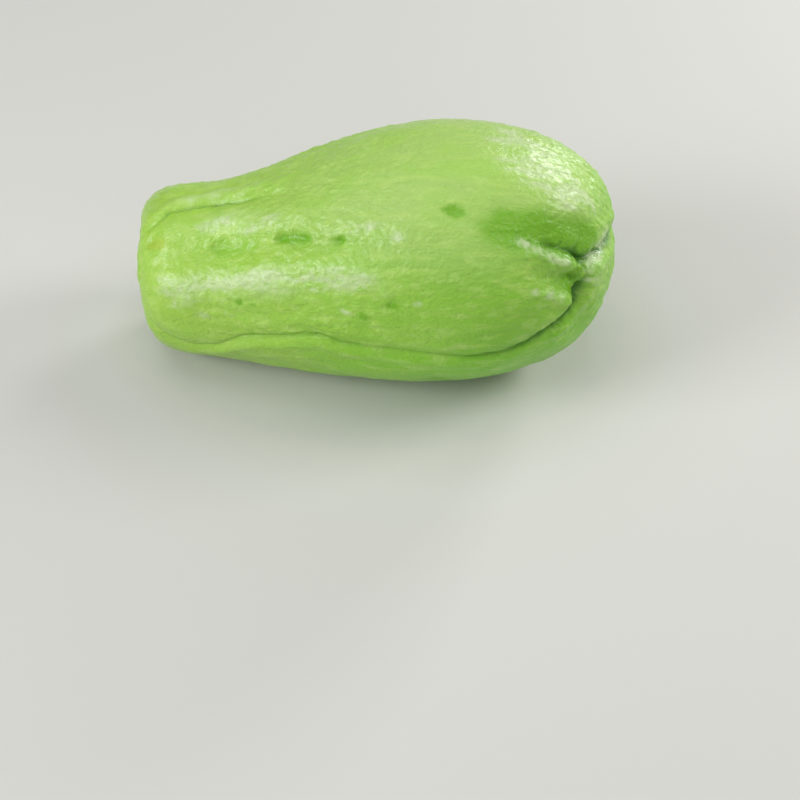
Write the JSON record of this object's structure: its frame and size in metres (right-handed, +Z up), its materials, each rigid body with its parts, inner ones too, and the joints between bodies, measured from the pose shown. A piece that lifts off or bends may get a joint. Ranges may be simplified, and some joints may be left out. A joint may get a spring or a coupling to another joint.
{
  "type": "chayote squash",
  "caption": "Whole pear-shaped chayote squash lying on its side, with a folded mouth at its broad end and a stalk scar at its slim end.",
  "frame": {"origin": "bottom centre of the bounding box, on the surface that the fruit lies on", "axes": "+X along the fruit's length, from the slim stalk end to the broad blossom end; +Z up; the side that shows the folds of the mouth faces -Y"},
  "size_m": [0.1438, 0.0789, 0.0785],
  "materials": {
    "skin": "waxy"
  },
  "bodies": {
    "root": {"chayote": "skin"}
  },
  "joints": []
}
